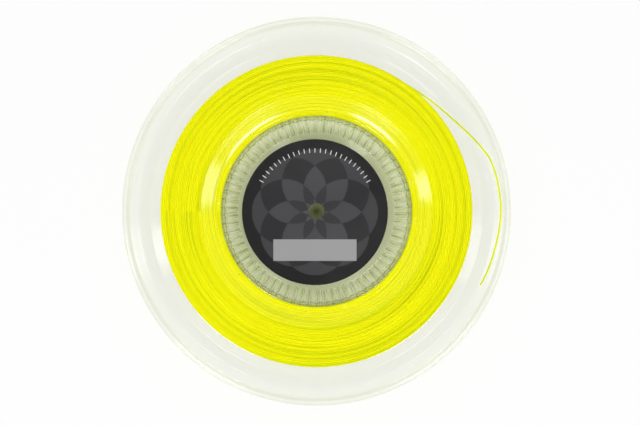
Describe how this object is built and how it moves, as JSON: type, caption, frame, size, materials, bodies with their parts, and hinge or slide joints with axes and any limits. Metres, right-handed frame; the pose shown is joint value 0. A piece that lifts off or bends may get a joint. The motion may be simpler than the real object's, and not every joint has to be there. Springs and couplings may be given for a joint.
{
  "type": "racket string reel",
  "caption": "Flat clear plastic spool with a fluted conical hub recess, wound with bright yellow racket string whose end is laced through the front flange.",
  "frame": {"origin": "on the reel's axis, at the surface that the reel lies on with its front half up", "axes": "+Z along the reel's axis, out of its front half; +X to the right and +Y to the top of the front half as the picture shows it"},
  "size_m": [0.27, 0.27, 0.0233],
  "materials": {
    "shell_clear": "clear, glossy moulded plastic",
    "core_clear": "clear, glossy extruded plastic",
    "label_print": null,
    "string_yellow": "glossy fluorescent yellow monofilament"
  },
  "bodies": {
    "root": {"front_shell": "shell_clear", "rear_shell": "shell_clear", "hub_core": "core_clear", "front_label": "label_print", "rear_label": "label_print", "string_winding": "string_yellow", "string_tail": "string_yellow"}
  },
  "joints": []
}
